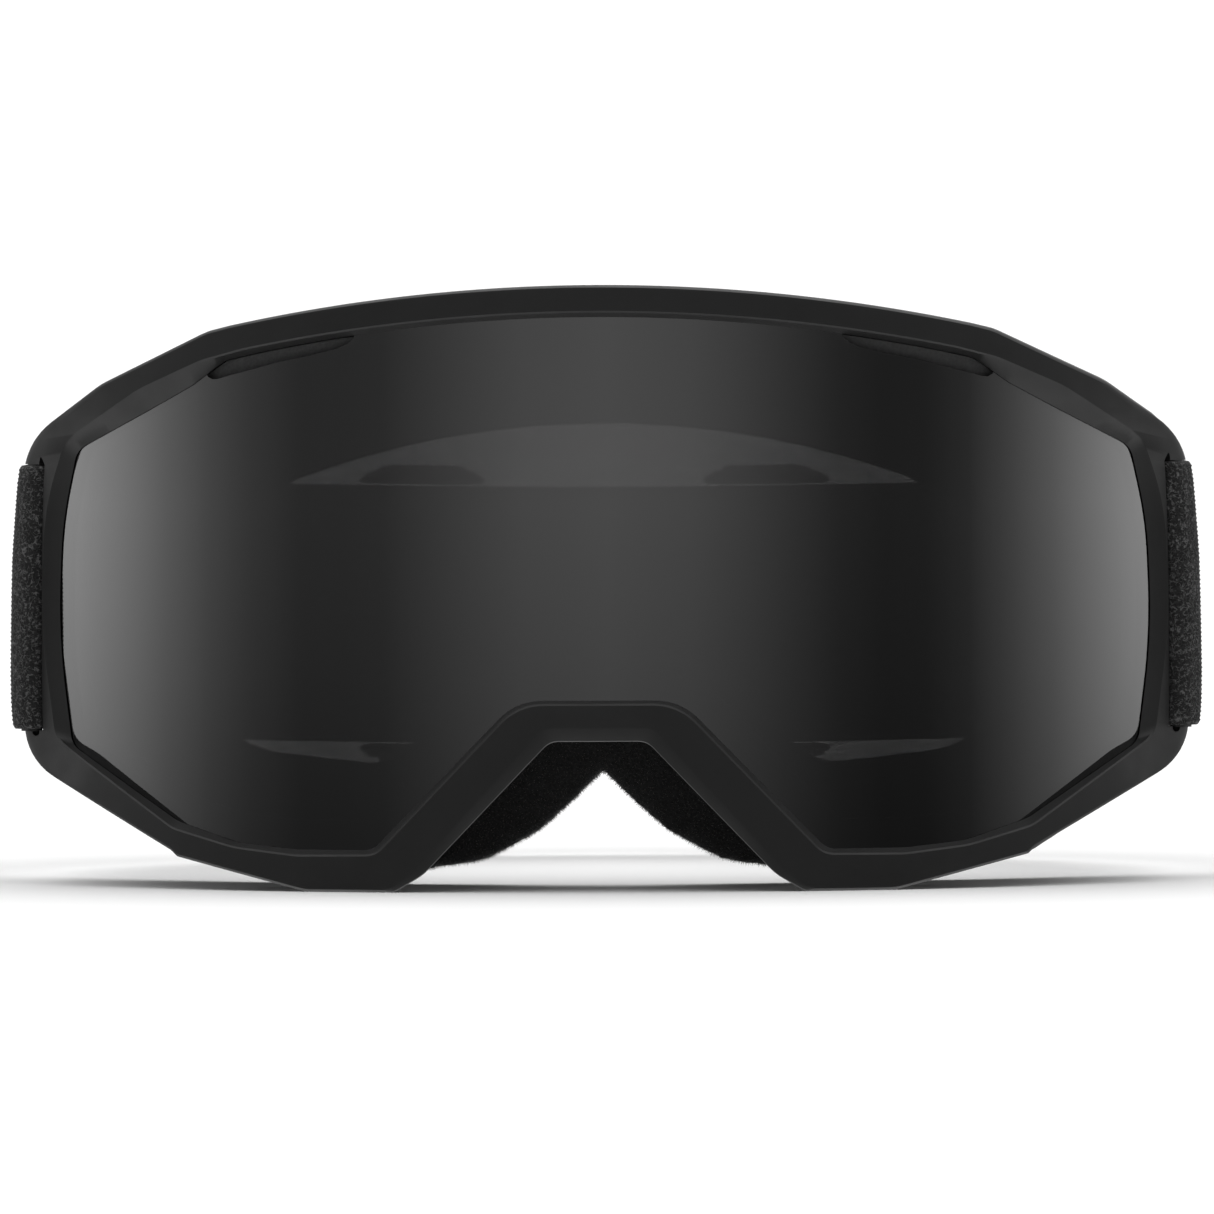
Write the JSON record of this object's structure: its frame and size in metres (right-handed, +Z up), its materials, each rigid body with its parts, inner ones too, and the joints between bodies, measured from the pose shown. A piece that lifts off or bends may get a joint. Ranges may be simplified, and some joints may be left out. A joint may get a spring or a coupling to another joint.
{
  "type": "ski goggles",
  "caption": "Ski goggles with a cylindrical double lens in a moulded frame, vented and foam lined, on a wide elastic strap with two sliders at the back.",
  "frame": {"origin": "bottom centre of the object's box, on the surface it stands on", "axes": "+Z up, -Y the way the lens faces, +Y to the back of the head, -X left as seen from in front"},
  "size_m": [0.18, 0.18, 0.0915],
  "materials": {
    "frame_tpu": "matte",
    "lens_outer": "polished",
    "lens_inner": "polished",
    "gasket": "matte",
    "vent_foam": "matte",
    "face_foam": "matte",
    "fleece": "matte",
    "elastic": "matte",
    "slider_plastic": "satin",
    "thread": "satin"
  },
  "bodies": {
    "frame": {"frame": "frame_tpu", "outer_lens": "lens_outer", "inner_lens": "lens_inner", "lens_gasket": "gasket", "vent_foam_top": "vent_foam", "vent_foam_upper_left": "vent_foam", "vent_foam_upper_right": "vent_foam", "vent_foam_lower_left": "vent_foam", "vent_foam_lower_right": "vent_foam", "vent_foam_bottom_left": "vent_foam", "vent_foam_bottom_right": "vent_foam", "face_foam_base": "face_foam", "face_foam_lining": "fleece", "strap_wrap_left": "elastic", "strap_wrap_right": "elastic"},
    "strap": {"strap_band": "elastic", "strap_return_left": "elastic", "strap_return_right": "elastic"},
    "slider_left": {"slider_left": "slider_plastic", "slider_tab_left": "elastic", "tab_stitching_left": "thread"},
    "slider_right": {"slider_right": "slider_plastic", "slider_tab_right": "elastic", "tab_stitching_right": "thread"}
  },
  "joints": [
    {"name": "strap_swing", "type": "hinge", "parent": "frame", "child": "strap", "pos_m": [0, -0.01596, 0.0437], "axis": [1, 0, 0], "range_deg": [-29.5, 30.5], "stiffness_Nm_per_rad": 0.5, "springref_deg": 0.97},
    {"name": "slider_left_slide", "type": "hinge", "parent": "strap", "child": "slider_left", "pos_m": [0, 0.00001, 0.04269], "axis": [0, 0.0628, 0.998], "range_deg": [-13.5, 22.5]},
    {"name": "slider_right_slide", "type": "hinge", "parent": "strap", "child": "slider_right", "pos_m": [0, 0.00001, 0.04269], "axis": [0, -0.0628, -0.998], "range_deg": [-6.5, 29.5]}
  ]
}
